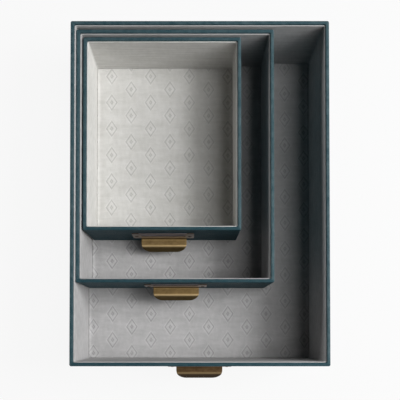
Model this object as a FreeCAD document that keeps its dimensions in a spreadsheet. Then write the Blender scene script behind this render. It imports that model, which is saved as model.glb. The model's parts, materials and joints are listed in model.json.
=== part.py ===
import FreeCAD, Part
import math
import os
import Sketcher

# Three open, leather-covered trays that stand one inside another. Each tray is a
# box of boards wrapped in leather, lined with suede-covered panels, with a padded
# floor and a brass label holder whose lower edge is bent out as a finger pull.
# The frame is millimetres, +Z up, +Y towards the back, with the origin at the
# middle of the large tray's underside. The label holders face -Y.

TRAYS = ("Large", "Medium", "Small")

SIZES = (
    # the trays: outer length along X, depth along Y, height along Z
    ("large_length", 297.4),
    ("large_depth", 396.8),
    ("large_height", 101.6),
    ("medium_length", 229.2),
    ("medium_depth", 294.2),
    ("medium_height", 88.9),
    ("small_length", 184.9),
    ("small_depth", 226.6),
    ("small_height", 76.2),
    # how far each inner tray stands off the tray around it, at its left and back
    ("medium_side_gap", 0.3),
    ("medium_back_gap", 1.4),
    ("small_side_gap", 1.6),
    ("small_back_gap", 0.8),
    # what a wall is made of
    ("leather", 0.8),
    ("side_board", 2.4),
    ("lining", 1.2),
    ("turn_in", 20.0),
    ("lining_drop", 2.2),
    ("board_corner", 1.2),
    ("rim_round", 0.6),
    # what a floor is made of
    ("base_sheet", 0.6),
    ("base_lift", 0.3),
    ("bottom_board", 3.4),
    ("floor_card", 0.8),
    ("floor_pad", 1.7),
    ("pad_gap", 0.5),
    ("pad_round", 1.0),
    # the label holder
    ("plate_drop", 19.0),
    ("plate_height", 31.0),
    ("plate_sheet", 0.6),
    ("plate_corner", 3.0),
    ("window_width", 54.0),
    ("screw_inset", 5.5),
    ("plate_end", 5.0),
    ("rail_top", 3.5),
    ("rail_bottom", 13.0),
    ("card_lap", 1.7),
    ("card_sheet", 0.4),
    ("card_clear", 0.3),
    # the finger pull at its lower edge; the rise to its ridge and the fall from it in degrees
    ("tongue_width", 56.5),
    ("tongue_sheet", 1.5),
    ("tongue_reach", 18.0),
    ("tongue_crest", 9.8),
    ("tongue_corner", 12.5),
    ("root_radius", 3.0),
    ("ridge_radius", 4.0),
    ("tongue_rise", 8.0),
    ("tongue_fall", 48.0),
    # the screws that hold it
    ("screw_shank", 2.2),
    ("screw_head", 5.0),
    ("screw_dome", 1.4),
    ("screw_cover", 0.1),
    ("screw_point", 1.2),
    ("slot_width", 0.8),
    ("slot_cut", 0.7),
    ("screw_clear", 0.05),
)

os.makedirs("parts", exist_ok=True)
doc = FreeCAD.newDocument("NestingTrays")
sheet = doc.addObject("Spreadsheet::Sheet", "Sizes")
for row, (alias, value) in enumerate(SIZES, start=1):
    sheet.set(f"A{row}", alias)
    sheet.set(f"B{row}", str(value))
    sheet.setAlias(f"B{row}", alias)
doc.recompute()


# Values worked out from the sizes

def value_set(name, formulas):
    """A named set of values, each worked out by its own formula."""
    values = doc.addObject("App::VarSet", name)
    for alias, formula in formulas.items():
        values.addProperty("App::PropertyFloat", alias)
        values.setExpression(alias, formula)
    doc.recompute()


value_set("Build", {
    "board_face": "Sizes.leather + Sizes.side_board",
    "cover_face": "2 * Sizes.leather + Sizes.side_board",
    "wall": "2 * Sizes.leather + Sizes.side_board + Sizes.lining",
    "board_top": "Sizes.base_sheet + Sizes.bottom_board",
    "card_top": "Sizes.base_sheet + Sizes.bottom_board + Sizes.floor_card",
    "floor": "Sizes.base_sheet + Sizes.bottom_board + Sizes.floor_card + Sizes.floor_pad",
    "channel": "Sizes.card_sheet + 2 * Sizes.card_clear",
    "plate": "Sizes.plate_sheet + Sizes.card_sheet + 2 * Sizes.card_clear",
    "plate_foot": "Sizes.plate_drop + Sizes.plate_height",
    "screw_across": "Sizes.window_width / 2 + Sizes.screw_inset",
    "screw_drop": "Sizes.plate_drop + Sizes.plate_height / 2",
    "screw_depth": "Sizes.leather + Sizes.side_board - Sizes.screw_cover",
})


def tray_values(name, left, back, base):
    """One tray's extents and middle, from its own sizes and where its corner stands."""
    size = f"Sizes.{name.lower()}_"
    value_set(name, {
        "half_length": f"{size}length / 2",
        "half_depth": f"{size}depth / 2",
        "rim": f"{size}height",
        "middle_x": f"{left} + {size}length / 2",
        "middle_y": f"{back} - {size}depth / 2",
        "base": base,
    })


tray_values("Large", "-Sizes.large_length / 2", "Sizes.large_depth / 2", "0")
for outer, inner in zip(TRAYS, TRAYS[1:]):
    gap = f"Sizes.{inner.lower()}_"
    tray_values(
        inner,
        f"{outer}.middle_x - {outer}.half_length + Build.wall + {gap}side_gap",
        f"{outer}.middle_y + {outer}.half_depth - Build.wall - {gap}back_gap",
        f"{outer}.base + Build.floor",
    )


# Drawing tools

def number(formula):
    return float(sheet.evalExpression(formula))


def sketch_on(body, role, name, lift=None):
    """An empty sketch on one of the body's own planes, lifted along its normal."""
    plane = [face for face in body.Origin.OriginFeatures if face.Role == role][0]
    sketch = body.newObject("Sketcher::SketchObject", f"{body.Name}_{name}")
    sketch.AttachmentSupport = [(plane, "")]
    sketch.MapMode = "FlatFace"
    if lift is not None:
        sketch.setExpression("AttachmentOffset.Base.z", lift)
    return sketch


def bind(sketch, kind, *where, formula):
    """A dimension of the sketch that follows a formula."""
    amount = number(formula)
    if kind == "Angle":
        amount = math.radians(amount)
        formula = f"({formula}) * 1 deg"
    index = sketch.addConstraint(Sketcher.Constraint(kind, *where, amount))
    sketch.setExpression(f"Constraints[{index}]", formula)


def pin(sketch, line, end, across, up):
    """Holds a point of a sketch line at the place that two formulas give. None leaves it free."""
    for axis, kind, formula in ((-2, "DistanceX", across), (-1, "DistanceY", up)):
        if formula == "0":
            sketch.addConstraint(Sketcher.Constraint("PointOnObject", line, end, axis))
        elif formula is not None:
            bind(sketch, kind, -1, 1, line, end, formula=formula)


def round_centre(start, finish, across, up):
    """The centre of a round side, from the side's ends and the one coordinate that is given."""
    run = finish - start
    level = (finish.Length ** 2 - start.Length ** 2) / 2
    if up is None:
        x = number(across)
        return FreeCAD.Vector(x, (level - run.x * x) / run.y, 0)
    y = number(up)
    return FreeCAD.Vector((level - run.y * y) / run.x, y, 0)


def outline(sketch, corners, round_side=None, centre=None):
    """A closed outline through its corners. One side may be round, with one coordinate of
    its centre given: the side's ends fix the other."""
    first = sketch.GeometryCount
    points = [FreeCAD.Vector(number(x), number(y), 0) for x, y in corners]
    ends = []
    for side, start in enumerate(points):
        finish = points[(side + 1) % len(points)]
        backwards = False
        if side == round_side:
            middle = round_centre(start, finish, *centre)
            angles = [math.atan2(point.y - middle.y, point.x - middle.x) for point in (start, finish)]
            backwards = (angles[1] - angles[0]) % (2 * math.pi) > math.pi
            if backwards:
                angles.reverse()
            circle = Part.Circle(middle, FreeCAD.Vector(0, 0, 1), (start - middle).Length)
            sketch.addGeometry(Part.ArcOfCircle(circle, *angles), False)
        else:
            sketch.addGeometry(Part.LineSegment(start, finish), False)
        ends.append((2, 1) if backwards else (1, 2))
    for side, corner in enumerate(corners):
        after = (side + 1) % len(corners)
        sketch.addConstraint(Sketcher.Constraint(
            "Coincident", first + side, ends[side][1], first + after, ends[after][0]))
        pin(sketch, first + side, ends[side][0], *corner)
    if centre is not None:
        pin(sketch, first + round_side, 3, *centre)


def rectangle(sketch, left, low, right, high):
    outline(sketch, ((left, low), (right, low), (right, high), (left, high)))


def inset_rectangle(sketch, tray, inset):
    """The tray's outer outline, drawn in by a distance."""
    across = f"({tray}.half_length - ({inset}))"
    up = f"({tray}.half_depth - ({inset}))"
    rectangle(sketch, f"-{across}", f"-{up}", across, up)


def pad(body, sketch, length):
    feature = body.newObject("PartDesign::Pad", f"{sketch.Name}_pad")
    feature.Profile = sketch
    feature.setExpression("Length", length)
    doc.recompute()


def pocket(body, sketch, length=None, outwards=False):
    """Cuts the sketch against its normal, or along it; through everything if no length."""
    before = body.Shape.Volume
    feature = body.newObject("PartDesign::Pocket", f"{sketch.Name}_cut")
    feature.Profile = sketch
    feature.Reversed = outwards
    if length is None:
        feature.Type = "ThroughAll"
    else:
        feature.setExpression("Length", length)
    doc.recompute()
    if body.Shape.Volume >= before:
        raise RuntimeError(f"{feature.Name} cuts nothing")


def round_edges(body, name, radius, chosen):
    """Rounds the edges of the body that the test chooses."""
    base = body.Tip
    names = [
        f"Edge{index}"
        for index, edge in enumerate(base.Shape.Edges, start=1)
        if chosen(edge.Vertexes[0].Point, edge.Vertexes[-1].Point)
    ]
    feature = body.newObject("PartDesign::Fillet", f"{body.Name}_{name}")
    feature.Base = (base, names)
    feature.setExpression("Radius", radius)
    doc.recompute()


def near(one, other):
    return abs(one - other) < 1e-4


def piece(label, tray, height="0", depth="0", across="0"):
    """An empty body whose origin is placed from the middle of the tray's underside."""
    body = doc.addObject("PartDesign::Body", label)
    body.Label = label
    body.setExpression("Placement.Base.x", f"{tray}.middle_x + ({across})")
    body.setExpression("Placement.Base.y", f"{tray}.middle_y + ({depth})")
    body.setExpression("Placement.Base.z", f"{tray}.base + ({height})")
    return body


# The box of boards, its lining and its floor

def round_outer_uprights(body, tray):
    """Rounds the uprights of a board that stand at the tray's own corners."""
    half_length = number(f"{tray}.half_length - Sizes.leather")
    half_depth = number(f"{tray}.half_depth - Sizes.leather")

    def at_corner(start, end):
        upright = near(start.x, end.x) and near(start.y, end.y)
        return upright and near(abs(start.x), half_length) and near(abs(start.y), half_depth)

    round_edges(body, "corners", "Sizes.board_corner", at_corner)


def slab(label, tray, bottom, top, inset=None, sides=None):
    """A flat piece between two heights, inside the tray's outline or between four sides."""
    body = piece(label, tray, bottom)
    sketch = sketch_on(body, "XY_Plane", "outline")
    if inset is not None:
        inset_rectangle(sketch, tray, inset)
    else:
        rectangle(sketch, *sides)
    pad(body, sketch, f"{top} - ({bottom})")
    return body


def four_walls(tray, outer, inner):
    """The four sides of a wall between two insets: front and back run the full length."""
    along, across = f"{tray}.half_length", f"{tray}.half_depth"
    ends = (f"-{along} + {outer}", f"{along} - {outer}")
    return {
        "front": (ends[0], f"-{across} + {outer}", ends[1], f"-{across} + {inner}"),
        "back": (ends[0], f"{across} - {inner}", ends[1], f"{across} - {outer}"),
        "left": (ends[0], f"-{across} + {inner}", f"-{along} + {inner}", f"{across} - {inner}"),
        "right": (f"{along} - {inner}", f"-{across} + {inner}", ends[1], f"{across} - {inner}"),
    }


def screw_circles(sketch, up):
    """The outlines of the two screw holes, at a height in the sketch."""
    for index, sign in enumerate(("-", "")):
        across = f"{sign}Build.screw_across"
        middle = FreeCAD.Vector(number(across), number(up), 0)
        circle = Part.Circle(middle, FreeCAD.Vector(0, 0, 1), number("Sizes.screw_shank / 2"))
        sketch.addGeometry(circle, False)
        pin(sketch, index, 3, across, up)
        bind(sketch, "Radius", index, formula="Sizes.screw_shank / 2 + Sizes.screw_clear")


def drill_front(body, tray, bottom="0"):
    """The two screw holes in the front of a piece that starts at a height in the tray."""
    holes = sketch_on(body, "XZ_Plane", "screw_holes", f"{tray}.half_depth")
    screw_circles(holes, f"{tray}.rim - Build.screw_drop - ({bottom})")
    pocket(body, holes, "Build.screw_depth + Sizes.screw_clear")


def boards(tray):
    prefix = tray.lower()
    bottom = slab(f"{prefix}_bottom_board", tray, "Sizes.base_sheet", "Build.board_top", "Sizes.leather")
    round_outer_uprights(bottom, tray)
    for side, sides in four_walls(tray, "Sizes.leather", "Build.board_face").items():
        board = slab(f"{prefix}_{side}_board", tray, "Build.board_top", f"{tray}.rim - Sizes.leather",
                     sides=sides)
        if side in ("front", "back"):
            round_outer_uprights(board, tray)
        if side == "front":
            drill_front(board, tray, "Build.board_top")


def linings(tray):
    prefix = tray.lower()
    for side, sides in four_walls(tray, "Build.cover_face", "Build.wall").items():
        slab(f"{prefix}_{side}_lining", tray, "Build.board_top", f"{tray}.rim - Sizes.lining_drop",
             sides=sides)


def floors(tray):
    """The sheet under the tray, and the card and the padded suede on its bottom board."""
    prefix = tray.lower()
    base = slab(f"{prefix}_base_sheet", tray, "0", "Sizes.base_sheet", "Sizes.leather")
    round_outer_uprights(base, tray)
    inside = "Build.wall + Sizes.pad_gap"
    slab(f"{prefix}_floor_card", tray, "Build.board_top", "Build.card_top", inside)
    floor_pad = slab(f"{prefix}_floor_pad", tray, "Build.card_top", "Build.floor", inside)
    thickness = number("Sizes.floor_pad")

    def at_top(start, end):
        return near(start.z, thickness) and near(end.z, thickness)

    round_edges(floor_pad, "soft_edge", "Sizes.pad_round", at_top)


# The leather cover: one skin over the outer faces, the rim and the top of the inner faces

def leather_cover(tray):
    body = piece(f"{tray.lower()}_leather_cover", tray)
    layers = (
        ("skin", "0", "Sizes.leather", "Sizes.base_lift", f"{tray}.rim - Sizes.leather"),
        ("rim", "0", "Build.cover_face", f"{tray}.rim - Sizes.leather", f"{tray}.rim"),
        ("turn_in", "Build.board_face", "Build.cover_face", f"{tray}.rim - Sizes.turn_in",
         f"{tray}.rim - Sizes.leather"),
    )
    for name, outer, inner, bottom, top in layers:
        ring = sketch_on(body, "XY_Plane", name, bottom)
        inset_rectangle(ring, tray, outer)
        inset_rectangle(ring, tray, inner)
        pad(body, ring, f"{top} - ({bottom})")

    half_length = number(f"{tray}.half_length")
    half_depth = number(f"{tray}.half_depth")
    leather = number("Sizes.leather")
    rim = number(f"{tray}.rim")

    def upright_at(inset):
        return lambda start, end: (
            near(start.x, end.x) and near(start.y, end.y)
            and near(abs(start.x), half_length - inset) and near(abs(start.y), half_depth - inset)
        )

    round_edges(body, "outer_corners", "Sizes.board_corner + Sizes.leather", upright_at(0))
    round_edges(body, "inner_corners", "Sizes.board_corner", upright_at(leather))
    round_edges(body, "rim_edges", "Sizes.rim_round",
                lambda start, end: near(start.z, rim) and near(end.z, rim))
    drill_front(body, tray)


# The label holder, its card and its screws. Their origin is on the tray's front face,
# at its middle and level with its rim, and -Y points out of that face.

def front_piece(label, tray, drop="0", out="0", across="0"):
    return piece(label, tray, f"{tray}.rim - {drop}", f"-{tray}.half_depth - {out}", across)


def tongue_path(body):
    """The bent centre line of the pull: down from the plate, out and up to a ridge, and down."""
    path = sketch_on(body, "YZ_Plane", "tongue_path")
    rise, fall = math.radians(number("Sizes.tongue_rise")), math.radians(number("Sizes.tongue_fall"))
    root, ridge = number("Sizes.root_radius"), number("Sizes.ridge_radius")
    start_y = -number("Build.plate - Sizes.tongue_sheet / 2")
    foot = -number("Build.plate_foot")
    start = FreeCAD.Vector(start_y, foot + number("Sizes.rail_bottom / 2"), 0)
    bend = FreeCAD.Vector(start_y, foot, 0)
    root_centre = bend - FreeCAD.Vector(root, 0, 0)
    root_end = root_centre + FreeCAD.Vector(-math.sin(rise), -math.cos(rise), 0) * root
    ridge_start_y = -number("Sizes.tongue_crest") + ridge * math.sin(rise)
    run = (root_end.x - ridge_start_y) / math.cos(rise)
    ridge_start = root_end + FreeCAD.Vector(-math.cos(rise), math.sin(rise), 0) * run
    ridge_centre = ridge_start - FreeCAD.Vector(math.sin(rise), math.cos(rise), 0) * ridge
    ridge_end = ridge_centre + FreeCAD.Vector(-math.sin(fall), math.cos(fall), 0) * ridge
    tip_y = -number("Sizes.tongue_reach - Sizes.tongue_sheet / 2")
    run = (ridge_end.x - tip_y) / math.cos(fall)
    tip = ridge_end + FreeCAD.Vector(-math.cos(fall), -math.sin(fall), 0) * run
    up = FreeCAD.Vector(0, 0, 1)
    quarter = math.pi / 2
    path.addGeometry(Part.LineSegment(start, bend), False)
    path.addGeometry(Part.ArcOfCircle(Part.Circle(root_centre, up, root), -quarter - rise, 0), False)
    path.addGeometry(Part.LineSegment(root_end, ridge_start), False)
    path.addGeometry(
        Part.ArcOfCircle(Part.Circle(ridge_centre, up, ridge), quarter - rise, quarter + fall), False)
    path.addGeometry(Part.LineSegment(ridge_end, tip), False)
    for joint in ((0, 2, 1, 2), (1, 1, 2, 1), (2, 2, 3, 1), (3, 2, 4, 1)):
        path.addConstraint(Sketcher.Constraint("Tangent", *joint))
    path.addConstraint(Sketcher.Constraint("Vertical", 0))
    pin(path, 0, 1, "-Build.plate + Sizes.tongue_sheet / 2", "-Build.plate_foot + Sizes.rail_bottom / 2")
    bind(path, "DistanceY", -1, 1, 0, 2, formula="-Build.plate_foot")
    bind(path, "Radius", 1, formula="Sizes.root_radius")
    bind(path, "Radius", 3, formula="Sizes.ridge_radius")
    bind(path, "Angle", 2, formula="180 - Sizes.tongue_rise")
    bind(path, "Angle", 4, formula="Sizes.tongue_fall - 180")
    bind(path, "DistanceX", -1, 1, 3, 3, formula="-Sizes.tongue_crest")
    bind(path, "DistanceX", -1, 1, 4, 2, formula="-Sizes.tongue_reach + Sizes.tongue_sheet / 2")
    return path


def bend_tongue(body):
    """The finger pull: a strip of the plate's own sheet, bent along its path."""
    section = sketch_on(body, "XY_Plane", "tongue_section", "-Build.plate_foot + Sizes.rail_bottom / 2")
    rectangle(section, "-Sizes.tongue_width / 2", "-Build.plate",
              "Sizes.tongue_width / 2", "-Build.plate + Sizes.tongue_sheet")
    pipe = body.newObject("PartDesign::AdditivePipe", f"{body.Name}_tongue")
    pipe.Profile = section
    pipe.Spine = (tongue_path(body), [])
    doc.recompute()
    for side, sign in (("left", "-"), ("right", "")):
        edge = f"{sign}Sizes.tongue_width / 2"
        inner = f"{sign}(Sizes.tongue_width / 2 - Sizes.tongue_corner)"
        past = f"{sign}(Sizes.tongue_width / 2 + Sizes.tongue_sheet)"
        reach = "-Sizes.tongue_reach"
        shoulder = f"{reach} + Sizes.tongue_corner"
        beyond = f"{reach} - Sizes.tongue_sheet"
        corner = sketch_on(body, "XY_Plane", f"{side}_corner", "-Build.plate_foot")
        outline(
            corner,
            ((edge, shoulder), (inner, reach), (inner, beyond), (past, beyond), (past, shoulder)),
            round_side=0,
            centre=(inner, None),
        )
        pocket(body, corner)


def label_pull(tray):
    body = front_piece(f"{tray.lower()}_label_pull", tray)
    plate = sketch_on(body, "XZ_Plane", "plate")
    rectangle(plate, "-Build.screw_across - Sizes.plate_end", "-Build.plate_foot",
              "Build.screw_across + Sizes.plate_end", "-Sizes.plate_drop")
    pad(body, plate, "Build.plate")
    round_edges(body, "plate_corners", "Sizes.plate_corner",
                lambda start, end: near(start.x, end.x) and near(start.z, end.z))

    window = sketch_on(body, "XZ_Plane", "window")
    rectangle(window, "-Sizes.window_width / 2", "-Build.plate_foot + Sizes.rail_bottom",
              "Sizes.window_width / 2", "-Sizes.plate_drop - Sizes.rail_top")
    pocket(body, window, outwards=True)

    channel = sketch_on(body, "XZ_Plane", "channel")
    half = "(Sizes.window_width / 2 + Sizes.card_lap + Sizes.card_clear)"
    rectangle(channel, f"-{half}", "-Build.plate_foot + Sizes.rail_bottom - Sizes.card_lap",
              half, "-Sizes.plate_drop + Sizes.card_lap")
    pocket(body, channel, "Build.channel", outwards=True)

    holes = sketch_on(body, "XZ_Plane", "screw_holes")
    screw_circles(holes, "-Build.screw_drop")
    pocket(body, holes, outwards=True)
    bend_tongue(body)


def label_card(tray):
    """The blank card, standing on the closed lower rail with clearance before and behind."""
    body = front_piece(f"{tray.lower()}_label_card", tray)
    sketch = sketch_on(body, "XZ_Plane", "outline", "Sizes.card_clear")
    rectangle(sketch, "-Sizes.window_width / 2 - Sizes.card_lap",
              "-Build.plate_foot + Sizes.rail_bottom - Sizes.card_lap",
              "Sizes.window_width / 2 + Sizes.card_lap",
              "-Sizes.plate_drop - Sizes.card_lap")
    pad(body, sketch, "Sizes.card_sheet")


def screw(label, tray, sign):
    """A slotted round-head screw, with its head on the plate and its point in the board."""
    body = front_piece(label, tray, "Build.screw_drop", "Build.plate", f"{sign}Build.screw_across")
    profile = sketch_on(body, "YZ_Plane", "profile")
    tip = "Build.plate + Build.screw_depth"
    corners = (
        ("0", "Sizes.screw_head / 2"),
        ("0", "Sizes.screw_shank / 2"),
        (f"{tip} - Sizes.screw_point", "Sizes.screw_shank / 2"),
        (tip, "0"),
        ("-Sizes.screw_dome", "0"),
    )
    outline(profile, corners, round_side=4, centre=(None, "0"))
    turned = body.newObject("PartDesign::Revolution", f"{label}_turned")
    turned.Profile = profile
    turned.ReferenceAxis = (profile, ["H_Axis"])
    turned.Angle = 360
    doc.recompute()
    slot = sketch_on(body, "XZ_Plane", "slot", "Sizes.screw_dome - Sizes.slot_cut")
    rectangle(slot, "-Sizes.screw_head", "-Sizes.slot_width / 2", "Sizes.screw_head", "Sizes.slot_width / 2")
    pocket(body, slot, outwards=True)
    return body


def pull_screws(tray):
    label = f"{tray.lower()}_pull_screws"
    pair = doc.addObject("Part::Compound", label)
    pair.Label = label
    pair.Links = [screw(f"{label}_{side}", tray, sign) for side, sign in (("left", "-"), ("right", ""))]


for tray in TRAYS:
    boards(tray)
    linings(tray)
    floors(tray)
    leather_cover(tray)
    label_pull(tray)
    label_card(tray)
    pull_screws(tray)
doc.recompute()

# Checks, and one file for each piece

failed = [item.Name for item in doc.Objects if {"Invalid", "Error"} & set(item.State)]
if failed:
    raise RuntimeError(f"not built: {failed}")
inside_pairs = [link for item in doc.Objects if item.TypeId == "Part::Compound" for link in item.Links]
nodes = [
    item
    for item in doc.Objects
    if item.TypeId in ("PartDesign::Body", "Part::Compound") and item not in inside_pairs
]
for node in nodes:
    if node.Shape.isNull() or not node.Shape.isValid():
        raise RuntimeError(f"bad shape: {node.Label}")
for node in nodes:
    node.Shape.exportStep(f"parts/{node.Label}.step")
    box = node.Shape.BoundBox
    size = f"{box.XLength:.1f} x {box.YLength:.1f} x {box.ZLength:.1f} mm"
    print(f"{node.Label}: {len(node.Shape.Solids)} solid(s), {node.Shape.Volume:.0f} mm3, {size}")
print(f"{len(nodes)} nodes")
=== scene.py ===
import json
import math

import bmesh
import bpy
from mathutils import Matrix, Vector


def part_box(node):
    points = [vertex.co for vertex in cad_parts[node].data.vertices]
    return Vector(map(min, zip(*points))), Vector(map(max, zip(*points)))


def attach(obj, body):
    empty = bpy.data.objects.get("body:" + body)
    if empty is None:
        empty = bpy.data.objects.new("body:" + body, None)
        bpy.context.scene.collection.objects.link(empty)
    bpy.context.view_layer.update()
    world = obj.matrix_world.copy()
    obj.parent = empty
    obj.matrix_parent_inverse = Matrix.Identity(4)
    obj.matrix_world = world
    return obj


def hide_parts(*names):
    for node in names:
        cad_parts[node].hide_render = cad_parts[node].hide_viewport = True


# The looks of three open trays that stand one inside another: leather covers over
# boards, suede linings and padded floors, and brass label holders with a bent pull.
# Metres, +Z up, +Y towards the back. The label holders face -Y.

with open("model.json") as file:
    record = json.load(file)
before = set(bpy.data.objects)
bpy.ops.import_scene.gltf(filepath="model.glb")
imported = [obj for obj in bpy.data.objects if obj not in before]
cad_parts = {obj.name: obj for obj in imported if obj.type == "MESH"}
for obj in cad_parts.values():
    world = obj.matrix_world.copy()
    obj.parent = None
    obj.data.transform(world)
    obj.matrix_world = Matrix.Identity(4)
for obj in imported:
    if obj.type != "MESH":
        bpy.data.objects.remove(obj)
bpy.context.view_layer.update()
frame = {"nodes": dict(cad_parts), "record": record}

TRAYS = ("large", "medium", "small")
SIDES = ("front", "back", "left", "right")
MM = 0.001


# Label holders and their pulls, from the middle of a tray's front face at the rim

PLATE_HALF, PLATE_TOP, PLATE_FOOT, PLATE_CORNER = 37.5 * MM, 19 * MM, 50 * MM, 3 * MM
WINDOW_HALF, WINDOW_TOP, WINDOW_FOOT, WINDOW_CORNER = 27 * MM, 22.5 * MM, 37 * MM, 1 * MM
CARD_ROOM_HALF, CARD_FOOT = 29 * MM, 38.8 * MM
PLATE_BACK, PLATE_FACE = 1.0 * MM, 1.6 * MM
PLATE_ROUND = 0.25 * MM
STRIP_INSET, STRIP_LAP, STRIP_ROUND = 0.3 * MM, 0.05 * MM, 0.2 * MM
PULL_WIDTH, PULL_SHEET, PULL_CORNER, PULL_ROUND = 56.5 * MM, 1.5 * MM, 12.5 * MM, 0.45 * MM
PULL_START = 43.5 * MM
PULL_PROUD = 0.05 * MM
PULL_DOWN, PULL_OUT, PULL_LIP = 6.5 * MM, 5.025 * MM, 6.691 * MM
ROOT_RADIUS, ROOT_TURN = 3 * MM, math.radians(98)
RIDGE_RADIUS, RIDGE_TURN = 4 * MM, math.radians(56)
ROOT_RUN, RIDGE_RUN = ROOT_RADIUS * ROOT_TURN, RIDGE_RADIUS * RIDGE_TURN
RIDGE_START = PULL_DOWN + ROOT_RUN + PULL_OUT
RIDGE_AT = RIDGE_START + RIDGE_RUN / 2
PULL_RUN = RIDGE_START + RIDGE_RUN + PULL_LIP


# Mesh tools

CORNER_STEPS = 6
EDGE_STEPS = 3
ON_THE_CUT = 1e-7


def part_of(made, kind):
    """The vertices, edges or faces among what an operator made."""
    return [item for item in made if isinstance(item, kind)]


def round_corners(bm, corners, radius, steps):
    """Rounds the corners of a flat face."""
    bmesh.ops.bevel(
        bm, geom=corners, affect="VERTICES", offset=radius, offset_type="OFFSET",
        segments=steps, profile=0.5, material=-1, clamp_overlap=True,
    )


def rounded_outline(bm, corners, radius):
    """The edges of a closed outline whose four corners are rounded."""
    verts = [bm.verts.new(corner) for corner in corners]
    before = set(bm.edges)
    bm.faces.new(verts)
    round_corners(bm, verts, radius, CORNER_STEPS)
    edges = [edge for edge in bm.edges if edge not in before]
    faces = list({face for edge in edges for face in edge.link_faces})
    bmesh.ops.delete(bm, geom=faces, context="FACES_ONLY")
    return edges


def level_corners(low, high, height):
    """The corners of a level rectangle."""
    return (
        (low.x, low.y, height), (high.x, low.y, height),
        (high.x, high.y, height), (low.x, high.y, height),
    )


def draw_on(bm, edges, middle, half, inset, rise):
    """Draws a closed outline on into a band of faces: in by an inset and up by a rise."""
    made = bmesh.ops.extrude_edge_only(bm, edges=edges)["geom"]
    verts = part_of(made, bmesh.types.BMVert)
    reach = Vector(((half.x - inset) / half.x, (half.y - inset) / half.y, 1))
    bmesh.ops.scale(bm, verts=verts, vec=reach, space=Matrix.Translation(-middle))
    bmesh.ops.translate(bm, verts=verts, vec=(0, 0, rise))
    fresh = set(verts)
    return [
        edge for edge in part_of(made, bmesh.types.BMEdge)
        if edge.verts[0] in fresh and edge.verts[1] in fresh
    ]


def ring(bm, low, high, corner, profile):
    """A closed wall round a rectangle. Its profile is a row of (inset, height) points; the
    outlines that the points make are returned in their order."""
    middle = Vector(((low.x + high.x) / 2, (low.y + high.y) / 2, 0))
    half = Vector(((high.x - low.x) / 2, (high.y - low.y) / 2, 0))
    inset, height = profile[0]
    first_low = Vector((low.x + inset, low.y + inset, 0))
    first_high = Vector((high.x - inset, high.y - inset, 0))
    outlines = [rounded_outline(bm, level_corners(first_low, first_high, height), corner)]
    for next_inset, next_height in profile[1:]:
        here = Vector((half.x - inset, half.y - inset, 0))
        step_in, rise = next_inset - inset, next_height - height
        outlines.append(draw_on(bm, outlines[-1], middle, here, step_in, rise))
        inset, height = next_inset, next_height
    bmesh.ops.bridge_loops(bm, edges=outlines[-1] + outlines[0])
    return outlines


def soften(bm, edges, width, steps=EDGE_STEPS):
    """Rounds edges over, and returns the points of the rounding."""
    return bmesh.ops.bevel(
        bm, geom=edges, affect="EDGES", offset=width, offset_type="OFFSET",
        segments=steps, profile=0.5, material=-1, clamp_overlap=True,
    )["verts"]


def box_of(bm, low, high, width):
    """A box between two corners with its edges softened."""
    size = Vector(high) - Vector(low)
    fitted = Matrix.Translation((Vector(low) + Vector(high)) / 2) @ Matrix.Diagonal((*size, 1))
    verts = bmesh.ops.create_cube(bm, size=1, matrix=fitted)["verts"]
    edges = list({edge for vert in verts for edge in vert.link_edges})
    soften(bm, edges, width, 2)


def finish_piece(name, bm, material, body, slot, *nodes, sharp=50, sheet=0.0, edge_round=0.0):
    """Makes the mesh an object that rides on its body and stands for its CAD nodes. A sheet
    is given its thickness, half to each side, and its edges are rounded."""
    bmesh.ops.recalc_face_normals(bm, faces=bm.faces)
    for face in bm.faces:
        face.smooth = True
    mesh = bpy.data.meshes.new(name)
    bm.to_mesh(mesh)
    bm.free()
    mesh.set_sharp_from_angle(angle=math.radians(sharp))
    mesh.materials.append(material)
    piece = bpy.data.objects.new(name, mesh)
    bpy.context.scene.collection.objects.link(piece)
    if sheet:
        thickness = piece.modifiers.new("thickness", "SOLIDIFY")
        thickness.thickness = sheet
        thickness.offset = 0
        thickness.use_even_offset = True
    if edge_round:
        rounding = piece.modifiers.new("rounding", "BEVEL")
        rounding.width = edge_round
        rounding.segments = EDGE_STEPS
        rounding.limit_method = "ANGLE"
        rounding.angle_limit = math.radians(60)
        rounding.harden_normals = False
    weighted = piece.modifiers.new("even_faces", "WEIGHTED_NORMAL")
    weighted.keep_sharp = True
    weighted.weight = 90
    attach(piece, body)
    if nodes:
        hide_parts(*nodes)
    return piece


# Material tools

def new_finish(name):
    """An empty material with one surface shader: its node tree and that shader."""
    material = bpy.data.materials.new(name)
    material.use_nodes = True
    tree = material.node_tree
    tree.nodes.clear()
    surface = tree.nodes.new("ShaderNodeBsdfPrincipled")
    output = tree.nodes.new("ShaderNodeOutputMaterial")
    tree.links.new(surface.outputs["BSDF"], output.inputs["Surface"])
    return material, tree, surface


def add(tree, kind, inputs=None, **settings):
    """A new node. Each of its inputs is a value or another node's output."""
    made = tree.nodes.new(f"ShaderNode{kind}")
    for name, value in settings.items():
        setattr(made, name, value)
    for name, value in (inputs or {}).items():
        if isinstance(value, bpy.types.NodeSocket):
            tree.links.new(value, made.inputs[name])
        else:
            made.inputs[name].default_value = value
    return made


def calculate(tree, operation, *amounts):
    """One step of arithmetic on one to three amounts."""
    return add(tree, "Math", dict(enumerate(amounts)), operation=operation).outputs[0]


def attribute(tree, name):
    """A number that the mesh carries from point to point."""
    return add(tree, "Attribute", attribute_name=name).outputs["Fac"]


def place(tree, scale=(1, 1, 1), turn=0.0):
    """The piece's own coordinates, stretched and turned about the vertical."""
    here = add(tree, "TexCoord").outputs["Object"]
    inputs = {"Vector": here, "Rotation": (0, 0, turn), "Scale": scale}
    return add(tree, "Mapping", inputs).outputs["Vector"]


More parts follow.
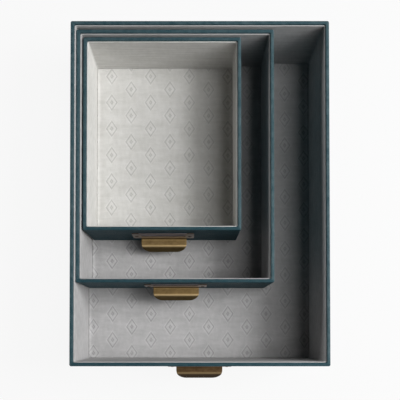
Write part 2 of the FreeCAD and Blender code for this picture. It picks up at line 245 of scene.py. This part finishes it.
def clouds(tree, where, scale, detail, rough=0.55):
    """Soft patches of more and less. A higher scale makes them smaller."""
    inputs = {"Vector": where, "Scale": scale, "Detail": detail, "Roughness": rough}
    return add(tree, "TexNoise", inputs).outputs["Fac"]


def spread(tree, amount, span, new_span):
    """Stretches a span of an amount, its low and high end, over another span."""
    inputs = {
        "Value": amount, "From Min": span[0], "From Max": span[1],
        "To Min": new_span[0], "To Max": new_span[1],
    }
    return add(tree, "MapRange", inputs).outputs["Result"]


def blend_colour(tree, amount, first, second):
    """From the first colour, at an amount of 0, to the second, at 1."""
    mixed = add(tree, "Mix", {"Factor": amount}, data_type="RGBA")
    for name, value in (("A", first), ("B", second)):
        socket = [item for item in mixed.inputs if item.name == name and item.type == "RGBA"][0]
        if isinstance(value, bpy.types.NodeSocket):
            tree.links.new(value, socket)
        else:
            socket.default_value = value
    return [item for item in mixed.outputs if item.type == "RGBA"][0]


def relief(tree, surface, *layers):
    """Stacks layers of (height, strength, depth) into the surface's normal."""
    normal = None
    for height, strength, depth in layers:
        inputs = {"Height": height, "Strength": strength, "Distance": depth}
        if normal is not None:
            inputs["Normal"] = normal
        normal = add(tree, "Bump", inputs).outputs["Normal"]
    tree.links.new(normal, surface.inputs["Normal"])


def colour(red, green, blue):
    """A colour from its 0 to 255 screen values."""
    linear = []
    for value in (red, green, blue):
        value /= 255
        linear.append(value / 12.92 if value <= 0.04045 else ((value + 0.055) / 1.055) ** 2.4)
    return (*linear, 1)


# Leather

LEATHER_DEEP, LEATHER_PALE = colour(23, 55, 64), colour(36, 70, 79)
# The rubbed tone paints wear and also the light that falls on the rims.
LEATHER_CREASE, LEATHER_RUBBED_AND_LIT = colour(11, 31, 37), colour(84, 103, 108)


def cover_leather():
    """Deep teal leather with a fine pebbled grain, rubbed paler along the rim, where the paleness is
    also painted light that differs from side to side.
    """
    material, tree, surface = new_finish("cover_leather")
    where = place(tree)
    pebbles = add(
        tree, "TexVoronoi", {"Vector": where, "Scale": 850, "Randomness": 0.9},
        feature="DISTANCE_TO_EDGE",
    ).outputs["Distance"]
    crease = spread(tree, pebbles, (0.0, 0.16), (0.0, 1.0))
    mottle = clouds(tree, where, 55, 4)
    fine = clouds(tree, where, 900, 3)
    scuffs = clouds(tree, place(tree, (160, 160, 420)), 1.0, 5, 0.65)
    base = blend_colour(tree, mottle, LEATHER_DEEP, LEATHER_PALE)
    base = blend_colour(tree, spread(tree, crease, (0, 1), (0.4, 0.0)), base, LEATHER_CREASE)
    scuffed = spread(tree, scuffs, (0.35, 0.7), (0.15, 0.6))
    # Painted light with the wear: the amount is larger on the better-lit sides of the rim.
    rubbed_and_lit = calculate(tree, "MULTIPLY", attribute(tree, "rubbed_and_lit"), scuffed)
    base = blend_colour(tree, rubbed_and_lit, base, LEATHER_RUBBED_AND_LIT)
    tree.links.new(base, surface.inputs["Base Color"])
    tree.links.new(spread(tree, mottle, (0.3, 0.7), (0.5, 0.62)), surface.inputs["Roughness"])
    surface.inputs["Specular IOR Level"].default_value = 0.08
    relief(
        tree, surface,
        (mottle, 0.25, 0.6 * MM), (crease, 0.4, 0.16 * MM), (fine, 0.2, 0.1 * MM),
    )
    return material


# Suede. The floors have a small lozenge pressed into it, in a half-drop repeat.

# Painted light: one suede in three copies, the small tray's paler and the large and medium darker, to
# stand in for how brightly each tray is lit.
SUEDE_TONES_LIT_PER_TRAY = {
    "large": (colour(186, 185, 185), colour(169, 168, 168)),
    "medium": (colour(182, 181, 181), colour(164, 163, 163)),
    "small": (colour(212, 211, 208), colour(196, 195, 191)),
}
BASE_SUEDE_TONES = colour(70, 82, 86), colour(48, 58, 62)
# The lip tone is a painted highlight beside each pressed outline.
GROOVE_TONE, LIP_HIGHLIGHT_TONE = colour(70, 70, 72), colour(255, 255, 255)
LOZENGE_ACROSS, LOZENGE_ALONG = 25 * MM, 34 * MM
LOZENGE_HALF_WIDTH, LOZENGE_HALF_HEIGHT = 6.6 * MM, 9.5 * MM
LOZENGE_CENTRE = 0.22


def lozenges(tree):
    """How deep the pressed outline of a lozenge lies at each place, and the band along it that takes
    a painted highlight, as if a raised lip caught the light.
    """
    split = add(tree, "SeparateXYZ", {"Vector": place(tree)})
    column = calculate(tree, "DIVIDE", split.outputs["X"], LOZENGE_ACROSS)
    odd = calculate(tree, "PINGPONG", calculate(tree, "FLOOR", column), 1.0)
    drop = calculate(tree, "MULTIPLY", odd, LOZENGE_ALONG / 2)
    dropped = calculate(tree, "ADD", split.outputs["Y"], drop)
    row = calculate(tree, "DIVIDE", dropped, LOZENGE_ALONG)
    reaches = []
    for line, repeat, half in (
        (column, LOZENGE_ACROSS, LOZENGE_HALF_WIDTH),
        (row, LOZENGE_ALONG, LOZENGE_HALF_HEIGHT),
    ):
        off_middle = calculate(tree, "SUBTRACT", calculate(tree, "FRACT", line), 0.5)
        distance = calculate(tree, "ABSOLUTE", off_middle)
        reaches.append(calculate(tree, "MULTIPLY", distance, repeat / half))
    reach = calculate(tree, "ADD", *reaches)
    outline = calculate(tree, "ABSOLUTE", calculate(tree, "SUBTRACT", reach, 1.0))
    centre = calculate(tree, "ABSOLUTE", calculate(tree, "SUBTRACT", reach, LOZENGE_CENTRE))
    nearest = calculate(tree, "MINIMUM", outline, centre)
    groove = spread(tree, nearest, (0.05, 0.2), (1.0, 0.0))
    lip_start = spread(tree, nearest, (0.16, 0.24), (0.0, 1.0))
    lip_end = spread(tree, nearest, (0.28, 0.40), (1.0, 0.0))
    return groove, calculate(tree, "MULTIPLY", lip_start, lip_end)


def suede(name, pale, dark, pressed=False):
    """Brushed suede, with pressed lozenges or without."""
    material, tree, surface = new_finish(name)
    streaks = clouds(tree, place(tree, (20, 130, 320), 0.10), 1.0, 5, 0.62)
    swept = clouds(tree, place(tree, (210, 80, 120), 0.75), 1.0, 4, 0.6)
    crossed = clouds(tree, place(tree, (110, 260, 160), 0.35), 1.0, 4, 0.6)
    patches = clouds(tree, place(tree), 26, 4)
    nap = clouds(tree, place(tree), 1300, 2)
    streak_share, crossed_share = (0.35, 0.2) if pressed else (0.55, 0.0)
    tone = calculate(tree, "MULTIPLY", patches, 0.2)
    tone = calculate(tree, "MULTIPLY_ADD", streaks, streak_share, tone)
    tone = calculate(tree, "MULTIPLY_ADD", swept, 0.25, tone)
    tone = calculate(tree, "MULTIPLY_ADD", crossed, crossed_share, tone)
    base = blend_colour(tree, spread(tree, tone, (0.4, 0.6), (0.0, 1.0)), dark, pale)
    layers = [
        (patches, 0.2, 0.6 * MM), (swept, 0.35, 0.5 * MM), (crossed, 0.3, 0.4 * MM),
        (streaks, 0.3, 0.4 * MM), (nap, 0.3, 0.15 * MM),
    ]
    if pressed:
        groove, lip_highlight = lozenges(tree)
        base = blend_colour(tree, calculate(tree, "MULTIPLY", groove, 0.18), base, GROOVE_TONE)
        # Painted highlight along the pressed outlines.
        base = blend_colour(tree, calculate(tree, "MULTIPLY", lip_highlight, 0.12), base, LIP_HIGHLIGHT_TONE)
        sunk = calculate(tree, "SUBTRACT", 1.0, groove)
        layers.append((sunk, 0.6, 0.4 * MM))
    tree.links.new(base, surface.inputs["Base Color"])
    surface.inputs["Roughness"].default_value = 0.95
    surface.inputs["Specular IOR Level"].default_value = 0.1
    surface.inputs["Sheen Weight"].default_value = 0.06
    surface.inputs["Sheen Roughness"].default_value = 0.6
    relief(tree, surface, *layers)
    return material


# Brass. Each pull has a pale and a dark tone, a tarnished tone that is also its painted shade, and a
# painted highlight tone.

# Painted reflection: the plate's brass is greyed to stand in for the grey surroundings it reflects.
PLATE_PALE_REFLECTED, PLATE_DARK_REFLECTED = colour(174, 163, 154), colour(156, 145, 136)
# The tarnish tone is also the plate's painted shade.
PLATE_TARNISH_AND_SHADE = colour(64, 58, 54)
# Painted light: one pull in three copies, the large one's tones far darker and its tarnish near black
# to stand in for the dark it reflects.
PULL_TONES_LIT_PER_TRAY = {
    "large": (colour(98, 78, 54), colour(80, 62, 42), colour(22, 15, 9), colour(130, 113, 84)),
    "medium": (colour(146, 122, 82), colour(122, 101, 65), colour(98, 84, 58), colour(178, 156, 119)),
    "small": (colour(157, 134, 93), colour(133, 111, 74), colour(106, 90, 58), colour(162, 142, 108)),
}


def paint_plate_shade(tree, base, tarnish_and_shade):
    """Painted shade: the plate darkens on its cut edges and towards its top."""
    base = blend_colour(tree, attribute(tree, "cut"), base, tarnish_and_shade)
    shaded = spread(tree, attribute(tree, "down"), (0.0, 0.8), (0.6, 0.0))
    return blend_colour(tree, shaded, base, tarnish_and_shade)


def paint_pull_light(tree, base, brushed, tarnish_and_shade, ridge_highlight_tone):
    """A pull is darkened by painted shade at its root and past its ridge, brightened along the ridge
    by a painted highlight, and as pale as the plate where it lies flat on it."""
    run = attribute(tree, "run")
    # Painted shade past the ridge, where the lip turns away from the light.
    past_ridge = spread(tree, run, (RIDGE_AT - 1 * MM, RIDGE_AT + 3 * MM), (0.0, 0.75))
    base = blend_colour(tree, past_ridge, base, tarnish_and_shade)
    # Painted shade at the root, in the gap under the plate.
    root = spread(tree, run, (PULL_DOWN + 2 * MM, PULL_DOWN + 7 * MM), (0.6, 0.0))
    base = blend_colour(tree, root, base, tarnish_and_shade)
    # Painted highlight along the ridge.
    from_ridge = calculate(tree, "ABSOLUTE", calculate(tree, "SUBTRACT", run, RIDGE_AT))
    ridge_line = spread(tree, from_ridge, (0.4 * MM, 1.4 * MM), (0.8, 0.0))
    broken = spread(tree, brushed, (0.3, 0.6), (1.0, 0.7))
    base = blend_colour(tree, calculate(tree, "MULTIPLY", ridge_line, broken), base, ridge_highlight_tone)
    flat = spread(tree, run, (PULL_DOWN - 1.2 * MM, PULL_DOWN + 0.4 * MM), (0.85, 0.0))
    return blend_colour(tree, flat, base, PLATE_PALE_REFLECTED)


def aged_brass(name, pale, dark, tarnish_and_shade, ridge_highlight_tone=None):
    """Brass with brush lines along it, browned with age. Only a pull has a ridge highlight tone;
    other brass gets the plate's painted shade.
    """
    material, tree, surface = new_finish(name)
    brushed = clouds(tree, place(tree, (60, 2600, 2600)), 1.0, 4, 0.6)
    patches = clouds(tree, place(tree), 160, 4, 0.6)
    base = blend_colour(tree, spread(tree, patches, (0.35, 0.7), (0.0, 1.0)), pale, dark)
    base = blend_colour(tree, spread(tree, brushed, (0.4, 0.7), (0.0, 0.35)), base, tarnish_and_shade)
    if ridge_highlight_tone is None:
        base = paint_plate_shade(tree, base, tarnish_and_shade)
    else:
        base = paint_pull_light(tree, base, brushed, tarnish_and_shade, ridge_highlight_tone)
    tree.links.new(base, surface.inputs["Base Color"])
    surface.inputs["Metallic"].default_value = 1.0
    tree.links.new(spread(tree, brushed, (0.3, 0.7), (0.38, 0.52)), surface.inputs["Roughness"])
    relief(tree, surface, (patches, 0.15, 0.3 * MM), (brushed, 0.2, 0.08 * MM))
    return material


# Card and board

CARD_DARK, CARD_PALE = colour(136, 130, 138), colour(156, 150, 158)
CARD_STAIN = colour(126, 120, 126)
BOARD_DARK, BOARD_PALE = colour(120, 112, 98), colour(158, 150, 134)
BOARD_FLECK = colour(84, 76, 64)


def card_paper():
    """Uncoated grey card with a faint fibre."""
    material, tree, surface = new_finish("card_paper")
    fibres = clouds(tree, place(tree, (500, 1500, 900)), 1.0, 5, 0.7)
    patches = clouds(tree, place(tree), 90, 3)
    base = blend_colour(tree, fibres, CARD_DARK, CARD_PALE)
    base = blend_colour(tree, spread(tree, patches, (0.4, 0.8), (0.0, 0.3)), base, CARD_STAIN)
    tree.links.new(base, surface.inputs["Base Color"])
    surface.inputs["Roughness"].default_value = 0.85
    surface.inputs["Specular IOR Level"].default_value = 0.25
    relief(tree, surface, (fibres, 0.2, 0.1 * MM))
    return material


def board():
    """Grey bookbinder's board with flecks of fibre."""
    material, tree, surface = new_finish("board")
    fibres = clouds(tree, place(tree, (300, 300, 900)), 1.0, 6, 0.7)
    flecks = add(
        tree, "TexVoronoi", {"Vector": place(tree), "Scale": 420}, feature="F1",
    ).outputs["Distance"]
    base = blend_colour(tree, fibres, BOARD_DARK, BOARD_PALE)
    base = blend_colour(tree, spread(tree, flecks, (0.0, 0.22), (0.5, 0.0)), base, BOARD_FLECK)
    tree.links.new(base, surface.inputs["Base Color"])
    surface.inputs["Roughness"].default_value = 0.9
    surface.inputs["Specular IOR Level"].default_value = 0.2
    relief(tree, surface, (fibres, 0.3, 0.2 * MM))
    return material


# The finishes of the trays' own pieces, and of the CAD nodes by their material slots

# Each tray's copy of the suede carries its painted light.
lining_suede = {tray: suede(f"{tray}_lining_suede", *SUEDE_TONES_LIT_PER_TRAY[tray]) for tray in TRAYS}
floor_suede = {
    tray: suede(f"{tray}_floor_suede", *SUEDE_TONES_LIT_PER_TRAY[tray], pressed=True) for tray in TRAYS
}
pull_brass = {tray: aged_brass(f"{tray}_pull_brass", *PULL_TONES_LIT_PER_TRAY[tray]) for tray in TRAYS}
FINISHES = {
    "cover_leather": cover_leather(),
    "lining_suede": lining_suede["medium"],
    "base_suede": suede("base_suede", *BASE_SUEDE_TONES),
    "board": board(),
    "aged_brass": aged_brass("aged_brass", PLATE_PALE_REFLECTED, PLATE_DARK_REFLECTED, PLATE_TARNISH_AND_SHADE),
    "card_paper": card_paper(),
}

for part in frame["record"]["subparts"]:
    node = frame["nodes"][part["node"]]
    node.data.materials.clear()
    node.data.materials.append(FINISHES[part["material_slot"]])


# Leather covers: one skin over the outer faces, the rim and the top of the inner faces.
# Each side of a rim is paled by its own amount, which is scuffed wear and also painted light: most on
# the right, where the light comes from, least at the front.

LEATHER = 0.8 * MM
TURN_IN = 20 * MM
COVER_CORNER = 2.0 * MM
RIM_ROUND, RIM_STEPS = 1.1 * MM, 4
FOOT_ROUND, FOOT_STEPS = 0.35 * MM, 2
# Per side, wear together with painted light: the right rim, nearest the light, is paled most.
RIM_WEAR_AND_LIGHT = {"front": 0.45, "back": 1.05, "left": 1.2, "right": 1.5}


def cover_width(tray):
    """From the tray's outer face to the leather on its inner face."""
    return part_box(f"{tray}_front_lining")[0].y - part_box(f"{tray}_leather_cover")[0].y


def side_of(point, low, high):
    """The side of a rectangle that a point is nearest to, split on the diagonals."""
    off = point - (low + high) / 2
    across, along = off.x / (high.x - low.x), off.y / (high.y - low.y)
    if abs(across) > abs(along):
        return "right" if across > 0 else "left"
    return "back" if along > 0 else "front"


def leather_cover(tray):
    """The cover of one tray, with a rounded rim that is paled by wear and by painted light."""
    low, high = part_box(f"{tray}_leather_cover")
    width = cover_width(tray)
    bm = bmesh.new()
    rubbed_and_lit = bm.verts.layers.float.new("rubbed_and_lit")
    outlines = ring(bm, low, high, COVER_CORNER, (
        (0, low.z),
        (0, high.z),
        (width, high.z),
        (width, high.z - TURN_IN),
        (width - LEATHER, high.z - TURN_IN),
        (width - LEATHER, high.z - LEATHER),
        (LEATHER, high.z - LEATHER),
        (LEATHER, low.z),
    ))
    # The rim's rounding takes its side's amount of wear and painted light.
    for vert in soften(bm, outlines[1] + outlines[2], RIM_ROUND, RIM_STEPS):
        vert[rubbed_and_lit] = RIM_WEAR_AND_LIGHT[side_of(vert.co, low, high)]
    foot = [edge for edge in outlines[0] if edge.is_valid]
    soften(bm, foot, FOOT_ROUND, FOOT_STEPS)
    finish_piece(
        f"{tray}_cover", bm, FINISHES["cover_leather"], f"{tray}_tray", "cover_leather",
        f"{tray}_leather_cover",
    )


# Suede linings: four panels that meet in rounded inner corners

LINING_CORNER = 1.9 * MM
LINING_ROUND = 0.55 * MM
OUTWARDS = {"front": (0, -1), "back": (0, 1), "left": (-1, 0), "right": (1, 0)}


def lining_panel(tray, side):
    """One side of the lining, cut from its ring on the diagonals through the corners."""
    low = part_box(f"{tray}_front_lining")[0]
    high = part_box(f"{tray}_back_lining")[1]
    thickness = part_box(f"{tray}_front_lining")[1].y - low.y
    bm = bmesh.new()
    outlines = ring(bm, low, high, LINING_CORNER, (
        (0, low.z), (0, high.z), (thickness, high.z), (thickness, low.z),
    ))
    soften(bm, outlines[1] + outlines[2], LINING_ROUND)
    out = Vector((*OUTWARDS[side], 0))
    along = Vector((-out.y, out.x, 0))
    middle = (low + high) / 2
    half = (high - low) / 2
    for sign in (-1, 1):
        corner = middle + out * abs(half.dot(out)) + along * sign * abs(half.dot(along))
        geometry = bm.verts[:] + bm.edges[:] + bm.faces[:]
        cut = bmesh.ops.bisect_plane(
            bm, geom=geometry, dist=ON_THE_CUT, plane_co=corner, plane_no=along * sign - out,
            clear_outer=True,
        )["geom_cut"]
        bmesh.ops.edgenet_fill(bm, edges=part_of(cut, bmesh.types.BMEdge))
    finish_piece(
        f"{tray}_lining_{side}", bm, lining_suede[tray], f"{tray}_tray", "lining_suede",
        f"{tray}_{side}_lining",
    )


# Padded floors. The suede rolls up a little where it meets the walls, then swells to its
# full height: (inset from the wall, fall from the full height) in millimetres.

PAD_CORNER = 1.6 * MM
PAD_SPREAD = 0.35 * MM
PAD_SWELL = (
    (0.0, 0.55), (0.15, 0.3), (0.45, 0.14), (0.85, 0.12), (1.3, 0.22),
    (1.8, 0.42), (2.3, 0.62), (2.8, 0.76), (3.5, 0.83), (4.6, 0.8),
    (6.2, 0.64), (8.2, 0.4), (10.5, 0.18), (13.0, 0.05), (16.0, 0.0),
)


def padded_floor(tray):
    """The padded suede floor of one tray, a little wider than the room between the walls."""
    low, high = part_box(f"{tray}_floor_pad")
    low -= Vector((PAD_SPREAD, PAD_SPREAD, 0))
    high += Vector((PAD_SPREAD, PAD_SPREAD, 0))
    bm = bmesh.new()
    middle = (low + high) / 2
    middle.z = 0
    half = (high - low) / 2
    foot = rounded_outline(bm, level_corners(low, high, low.z), PAD_CORNER)
    outline, inset, height = foot, 0.0, low.z
    for inset_mm, fall_mm in PAD_SWELL:
        next_inset, next_height = inset_mm * MM, high.z - fall_mm * MM
        here = Vector((half.x - inset, half.y - inset, 0))
        outline = draw_on(bm, outline, middle, here, next_inset - inset, next_height - height)
        inset, height = next_inset, next_height
    bmesh.ops.edgeloop_fill(bm, edges=foot)
    bmesh.ops.edgeloop_fill(bm, edges=outline)
    pad = finish_piece(
        f"{tray}_pad", bm, floor_suede[tray], f"{tray}_tray", "lining_suede",
        f"{tray}_floor_pad",
    )


# Label holders with a bent pull. They are made about the middle of a front face at its rim.

def upright_corners(half, top, foot, out):
    """The corners of an upright rectangle that faces -Y, measured down from the rim."""
    return ((-half, -out, -foot), (half, -out, -foot), (half, -out, -top), (-half, -out, -top))


def plate(bm):
    """The holder's front sheet with its window, and the three strips behind it."""
    cut = bm.verts.layers.float.new("cut")
    down = bm.verts.layers.float.new("down")
    plate_corners = upright_corners(PLATE_HALF, PLATE_TOP, PLATE_FOOT, PLATE_FACE)
    window_corners = upright_corners(WINDOW_HALF, WINDOW_TOP, WINDOW_FOOT, PLATE_FACE)
    outer = rounded_outline(bm, plate_corners, PLATE_CORNER)
    window = rounded_outline(bm, window_corners, WINDOW_CORNER)
    face = bmesh.ops.bridge_loops(bm, edges=outer + window)["faces"]
    made = bmesh.ops.extrude_face_region(bm, geom=face)["geom"]
    back_verts = part_of(made, bmesh.types.BMVert)
    bmesh.ops.translate(bm, verts=back_verts, vec=(0, PLATE_FACE - PLATE_BACK, 0))
    soften(bm, outer + window, PLATE_ROUND)
    strip_face = -PLATE_BACK - STRIP_LAP
    foot, top = -PLATE_FOOT + STRIP_INSET, -PLATE_TOP - STRIP_INSET
    for sign in (-1, 1):
        ends = sorted((sign * CARD_ROOM_HALF, sign * (PLATE_HALF - STRIP_INSET)))
        box_of(bm, (ends[0], strip_face, foot), (ends[1], 0, top), STRIP_ROUND)
    box_of(bm, (-CARD_ROOM_HALF, strip_face, foot), (CARD_ROOM_HALF, 0, -CARD_FOOT), STRIP_ROUND)
    # The cut and down amounts place the plate's painted shade.
    for vert in bm.verts:
        vert[cut] = min(1.0, (vert.co.y + PLATE_FACE) / PLATE_ROUND)
        vert[down] = (-vert.co.z - PLATE_TOP) / (PLATE_FOOT - PLATE_TOP)


PULL_CORNER_STEPS = 12
BENDS = (
    (RIDGE_START, RIDGE_RUN, RIDGE_TURN, 10),
    (PULL_DOWN, ROOT_RUN, -ROOT_TURN, 14),
)


def pull(bm):
    """A flat blank with two rounded corners, bent at the ridge and then at the root."""
    half = PULL_WIDTH / 2
    level = -PLATE_FACE - PULL_PROUD + PULL_SHEET / 2
    run = bm.verts.layers.float.new("run")
    corners = [
        bm.verts.new((across, level, -down))
        for across, down in ((-half, 0), (half, 0), (half, PULL_RUN), (-half, PULL_RUN))
    ]
    bm.faces.new(corners)
    round_corners(bm, corners[2:], PULL_CORNER, PULL_CORNER_STEPS)
    lines = []
    for start, length, turn, steps in BENDS:
        lines += [(start + length * (step + 0.5) / steps, turn / steps) for step in range(steps)]
    lines.sort()
    for line, _ in lines:
        geometry = bm.verts[:] + bm.edges[:] + bm.faces[:]
        bmesh.ops.bisect_plane(
            bm, geom=geometry, dist=ON_THE_CUT, plane_co=(0, 0, -line), plane_no=(0, 0, 1),
        )
    flat = [(vert, -vert.co.z) for vert in bm.verts]
    for vert, distance in flat:
        vert[run] = distance
    for line, turn in reversed(lines):
        beyond = [vert for vert, distance in flat if distance > line + 10 * ON_THE_CUT]
        bend = Matrix.Rotation(turn, 3, "X")
        bmesh.ops.rotate(bm, verts=beyond, cent=(0, level, -line), matrix=bend)
    bmesh.ops.translate(bm, verts=bm.verts, vec=(0, 0, -PULL_START))


def label_holder(tray):
    """The plate and the pull of one tray, which together stand for one CAD node."""
    low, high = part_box(f"{tray}_leather_cover")
    front_middle = Vector(((low.x + high.x) / 2, low.y, high.z))
    body, node = f"{tray}_tray", f"{tray}_label_pull"
    bm = bmesh.new()
    plate(bm)
    bmesh.ops.translate(bm, verts=bm.verts, vec=front_middle)
    finish_piece(f"{tray}_plate", bm, FINISHES["aged_brass"], body, "aged_brass", node, sharp=38)
    bm = bmesh.new()
    pull(bm)
    bmesh.ops.translate(bm, verts=bm.verts, vec=front_middle)
    finish_piece(
        f"{tray}_pull", bm, pull_brass[tray], body, "aged_brass", node,
        sheet=PULL_SHEET, edge_round=PULL_ROUND,
    )


for tray in TRAYS:
    leather_cover(tray)
    for side in SIDES:
        lining_panel(tray, side)
    padded_floor(tray)
    label_holder(tray)


# Floor and light. The floor is an evenly white backdrop to the camera, and keeps a share of
# the light and shadow that fall on it.

FLOOR_HALF, FLOOR_DROP = 8, 0.3 * MM
FLOOR_COLOUR = (0.86, 0.86, 0.86, 1)
BACKGROUND = (0.96, 0.96, 0.96, 1)
EVEN_SHARE = 0.95
SKY_COLOUR, SKY_STRENGTH = (1, 1, 1, 1), 0.003

# Each lamp's name, watts, place, the point that it faces, width and height
SOFTBOXES = (
    ("key", 19.5, (1.132, 0.0, 0.984), (0, 0, 0.02), 0.52, 0.80),
    ("top", 11, (0.704, 0.0, 1.324), (0, 0, 0.02), 1.08, 0.97),
    ("low_front", 2.4, (0.936, -1.115, 0.363), (0, 0, 0.05), 0.65, 0.64),
    ("low_back", 8.2, (-1.3, 0.9, 0.25), (0, 0, 0.1), 0.9, 0.3),
)


def seen_directly(tree):
    """1 where the camera sees the surface itself, in metal or through glass."""
    path = add(tree, "LightPath")
    seen = calculate(tree, "MAXIMUM", path.outputs["Is Camera Ray"], path.outputs["Is Glossy Ray"])
    return calculate(tree, "MAXIMUM", seen, path.outputs["Is Transmission Ray"])


def plain_floor():
    """The pale floor that the trays stand on."""
    bm = bmesh.new()
    bmesh.ops.create_grid(bm, x_segments=1, y_segments=1, size=FLOOR_HALF)
    bmesh.ops.translate(bm, verts=bm.verts, vec=(0, 0, -FLOOR_DROP))
    mesh = bpy.data.meshes.new("plain_floor")
    bm.to_mesh(mesh)
    bm.free()
    floor = bpy.data.objects.new("plain_floor", mesh)
    bpy.context.scene.collection.objects.link(floor)
    material = bpy.data.materials.new("plain_floor")
    material.use_nodes = True
    tree = material.node_tree
    tree.nodes.clear()
    lit = add(tree, "BsdfDiffuse", {"Color": FLOOR_COLOUR}).outputs["BSDF"]
    even = add(tree, "Emission", {"Color": BACKGROUND, "Strength": 1.0}).outputs["Emission"]
    share = calculate(tree, "MULTIPLY", seen_directly(tree), EVEN_SHARE)
    mixed = add(tree, "MixShader", {0: share, 1: lit, 2: even}).outputs["Shader"]
    add(tree, "OutputMaterial", {"Surface": mixed})
    mesh.materials.append(material)


def pale_world():
    """A pale backdrop all round, which adds only a trace of light."""
    world = bpy.data.worlds.new("studio")
    bpy.context.scene.world = world
    world.use_nodes = True
    tree = world.node_tree
    tree.nodes.clear()
    sky = {"Color": SKY_COLOUR, "Strength": SKY_STRENGTH}
    dim = add(tree, "Background", sky).outputs["Background"]
    even = add(tree, "Background", {"Color": BACKGROUND, "Strength": 1.0}).outputs["Background"]
    mixed = add(tree, "MixShader", {0: seen_directly(tree), 1: dim, 2: even}).outputs["Shader"]
    add(tree, "OutputWorld", {"Surface": mixed})


def softbox(name, watts, spot, target, width, height):
    """A soft rectangular lamp that the camera doesn't see."""
    lamp = bpy.data.lights.new(name, "AREA")
    lamp.shape = "RECTANGLE"
    lamp.size, lamp.size_y = width, height
    lamp.energy = watts
    holder = bpy.data.objects.new(name, lamp)
    bpy.context.scene.collection.objects.link(holder)
    holder.location = spot
    holder.rotation_euler = (Vector(target) - Vector(spot)).to_track_quat("-Z", "Y").to_euler()
    holder.visible_camera = False


plain_floor()
pale_world()
for lamp_row in SOFTBOXES:
    softbox(*lamp_row)


# Camera: looks straight down but for a slight tilt, with the frame shifted to take in the trays

FOCAL_LENGTH, SENSOR_WIDTH = 52.17, 36
SHIFT_ACROSS, SHIFT_UP = 0.0209, 0.30
CAMERA_PLACE, CAMERA_TILT = (-0.0094, -0.1577, 0.7614), 0.0182

lens = bpy.data.cameras.new("camera")
lens.sensor_width = SENSOR_WIDTH
lens.lens = FOCAL_LENGTH
lens.shift_x = SHIFT_ACROSS
lens.shift_y = SHIFT_UP
camera = bpy.data.objects.new("camera", lens)
camera.location = CAMERA_PLACE
camera.rotation_euler = (CAMERA_TILT, 0, 0)
bpy.context.scene.collection.objects.link(camera)
bpy.context.scene.camera = camera
bpy.context.scene.view_settings.view_transform = "Standard"
